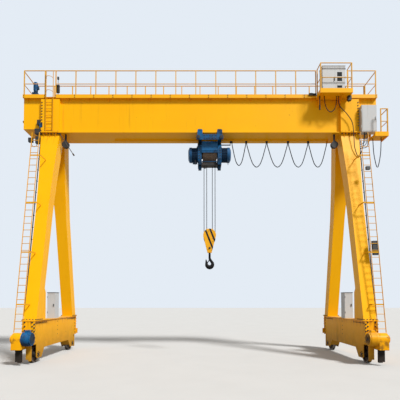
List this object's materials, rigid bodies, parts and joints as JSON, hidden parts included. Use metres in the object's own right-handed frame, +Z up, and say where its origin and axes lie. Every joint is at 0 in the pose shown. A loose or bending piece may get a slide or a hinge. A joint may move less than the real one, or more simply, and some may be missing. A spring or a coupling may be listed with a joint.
{
  "type": "gantry crane",
  "caption": "Single girder portal crane with A-frame legs on rail trucks, an underslung rope hoist and hook, a railed walkway, ladders and looped hoist cable.",
  "frame": {"origin": "midway between the two rails and between the axles, at the level the wheels stand on", "axes": "+X along the girder to the end with the cabinets, +Y away from the travel motors, +Z up"},
  "size_m": [16.875, 5.8399, 13.401],
  "materials": {
    "crane_yellow": "gloss enamel with light weathering",
    "rail_yellow": "gloss enamel, chipped at the joints",
    "motor_blue": "satin enamel",
    "motor_amber": "satin enamel",
    "hoist_blue": "satin enamel",
    "cabinet_grey": "powder coat",
    "block_yellow": "enamel with black stripes",
    "wheel_steel": "worn bright at the tread",
    "dark_steel": "dark paint",
    "rail_steel": "galvanised",
    "wire_rope": "greased wire",
    "hook_black": "black forging",
    "dark_plastic": "matt",
    "cable_rubber": "matt rubber sheath"
  },
  "bodies": {
    "portal": {"truck_left": "crane_yellow", "truck_right": "crane_yellow", "travel_motor_left": "motor_blue", "travel_motor_right": "motor_amber", "gear_case_left": "crane_yellow", "gear_case_right": "crane_yellow", "leg_front_left": "crane_yellow", "leg_back_left": "crane_yellow", "leg_front_right": "crane_yellow", "leg_back_right": "crane_yellow", "saddle_left": "crane_yellow", "saddle_right": "crane_yellow", "girder": "crane_yellow", "lower_flange": "crane_yellow", "walkway_deck": "crane_yellow", "railing_front": "rail_yellow", "railing_back": "rail_yellow", "railing_ends": "rail_yellow", "balcony": "crane_yellow", "balcony_railing": "rail_yellow", "control_cabinet": "cabinet_grey", "end_cabinet": "cabinet_grey", "landing": "crane_yellow", "landing_railing": "rail_yellow", "ladder_left": "rail_yellow", "ladder_right": "rail_yellow", "girder_ladder": "rail_yellow", "truck_cabinets": "cabinet_grey", "deck_unit": "motor_blue", "lamp": "dark_plastic", "junction_boxes": "dark_plastic", "cable_rail": "rail_steel", "hoist_cable": "cable_rubber", "hanging_cables": "cable_rubber"},
    "trolley": {"trolley_frame": "hoist_blue", "hoist_frame": "hoist_blue", "drum_cover": "hoist_blue", "hoist_motor": "hoist_blue", "hoist_gear": "hoist_blue", "rope_outlet": "dark_steel"},
    "wheel_front_left": {"wheel_front_left": "wheel_steel"},
    "wheel_back_left": {"wheel_back_left": "wheel_steel"},
    "wheel_front_right": {"wheel_front_right": "wheel_steel"},
    "wheel_back_right": {"wheel_back_right": "wheel_steel"},
    "trolley_wheel_front_left": {"trolley_wheel_front_left": "dark_steel"},
    "trolley_wheel_front_right": {"trolley_wheel_front_right": "dark_steel"},
    "trolley_wheel_back_left": {"trolley_wheel_back_left": "dark_steel"},
    "trolley_wheel_back_right": {"trolley_wheel_back_right": "dark_steel"},
    "drum": {"rope_drum": "wire_rope"},
    "block": {"hook_block": "block_yellow", "ropes": "wire_rope"},
    "sheave": {"block_sheave": "dark_steel"},
    "hook": {"hook": "hook_black"},
    "cabinet_door": {"end_cabinet_door": "cabinet_grey"},
    "carrier_1": {"cable_carrier_1": "dark_steel"},
    "carrier_2": {"cable_carrier_2": "dark_steel"},
    "carrier_3": {"cable_carrier_3": "dark_steel"},
    "carrier_4": {"cable_carrier_4": "dark_steel"},
    "carrier_5": {"cable_carrier_5": "dark_steel"}
  },
  "joints": [
    {"name": "wheel_front_left_spin", "type": "hinge", "parent": "portal", "child": "wheel_front_left", "pos_m": [-7, -2.1, 0.35], "axis": [1, 0, 0], "continuous": true},
    {"name": "wheel_back_left_spin", "type": "hinge", "parent": "portal", "child": "wheel_back_left", "pos_m": [-7, 2.1, 0.35], "axis": [1, 0, 0], "continuous": true},
    {"name": "wheel_front_right_spin", "type": "hinge", "parent": "portal", "child": "wheel_front_right", "pos_m": [7, -2.1, 0.35], "axis": [1, 0, 0], "continuous": true},
    {"name": "wheel_back_right_spin", "type": "hinge", "parent": "portal", "child": "wheel_back_right", "pos_m": [7, 2.1, 0.35], "axis": [1, 0, 0], "continuous": true},
    {"name": "trolley_travel", "type": "slide", "parent": "portal", "child": "trolley", "axis": [1, 0, 0], "range_m": [-5.6, 3], "deforming": ["hoist_cable"]},
    {"name": "trolley_wheel_front_left_spin", "type": "hinge", "parent": "trolley", "child": "trolley_wheel_front_left", "pos_m": [0, -0.6, 10.5453], "axis": [0, 1, 0], "continuous": true},
    {"name": "trolley_wheel_back_left_spin", "type": "hinge", "parent": "trolley", "child": "trolley_wheel_back_left", "pos_m": [0, 0.6, 10.5453], "axis": [0, 1, 0], "continuous": true},
    {"name": "trolley_wheel_front_right_spin", "type": "hinge", "parent": "trolley", "child": "trolley_wheel_front_right", "pos_m": [0.92, -0.6, 10.5453], "axis": [0, 1, 0], "continuous": true},
    {"name": "trolley_wheel_back_right_spin", "type": "hinge", "parent": "trolley", "child": "trolley_wheel_back_right", "pos_m": [0.92, 0.6, 10.5453], "axis": [0, 1, 0], "continuous": true},
    {"name": "hook_lift", "type": "slide", "parent": "trolley", "child": "block", "axis": [0, 0, 1], "range_m": [-3.5, 2.4], "deforming": ["ropes"]},
    {"name": "drum_spin", "type": "hinge", "parent": "trolley", "child": "drum", "pos_m": [0.46, 0, 9.6], "axis": [1, 0, 0], "continuous": true},
    {"name": "sheave_spin", "type": "hinge", "parent": "block", "child": "sheave", "pos_m": [0.46, 0, 5.57], "axis": [0, 1, 0], "continuous": true},
    {"name": "hook_swivel", "type": "hinge", "parent": "block", "child": "hook", "pos_m": [0.46, 0, 5.03], "axis": [0, 0, 1], "continuous": true},
    {"name": "cabinet_door_swing", "type": "hinge", "parent": "portal", "child": "cabinet_door", "pos_m": [7.433, -0.879, 10.99], "axis": [0, 0, -1], "range_deg": [0, 105]},
    {"name": "carrier_5_slide", "type": "slide", "parent": "portal", "child": "carrier_5", "axis": [1, 0, 0], "range_m": [-1.1042, 0.592]},
    {"name": "carrier_4_slide", "type": "slide", "parent": "carrier_5", "child": "carrier_4", "axis": [1, 0, 0], "range_m": [-1.1882, 0.637]},
    {"name": "carrier_3_slide", "type": "slide", "parent": "carrier_4", "child": "carrier_3", "axis": [1, 0, 0], "range_m": [-1.2498, 0.67]},
    {"name": "carrier_2_slide", "type": "slide", "parent": "carrier_3", "child": "carrier_2", "axis": [1, 0, 0], "range_m": [-1.1994, 0.643]},
    {"name": "carrier_1_slide", "type": "slide", "parent": "carrier_2", "child": "carrier_1", "axis": [1, 0, 0], "range_m": [-0.8634, 0.463]}
  ],
  "couplings": [
    {"joint": "trolley_wheel_front_left_spin", "follows": "trolley_travel", "rad_per_m": 15.314},
    {"joint": "trolley_wheel_back_left_spin", "follows": "trolley_travel", "rad_per_m": 15.314},
    {"joint": "trolley_wheel_front_right_spin", "follows": "trolley_travel", "rad_per_m": 15.314},
    {"joint": "trolley_wheel_back_right_spin", "follows": "trolley_travel", "rad_per_m": 15.314},
    {"joint": "drum_spin", "follows": "hook_lift", "rad_per_m": 5.917},
    {"joint": "sheave_spin", "follows": "hook_lift", "rad_per_m": 3.774},
    {"joint": "carrier_5_slide", "follows": "trolley_travel", "ratio": 0.197},
    {"joint": "carrier_4_slide", "follows": "trolley_travel", "ratio": 0.212},
    {"joint": "carrier_3_slide", "follows": "trolley_travel", "ratio": 0.223},
    {"joint": "carrier_2_slide", "follows": "trolley_travel", "ratio": 0.214},
    {"joint": "carrier_1_slide", "follows": "trolley_travel", "ratio": 0.154}
  ]
}
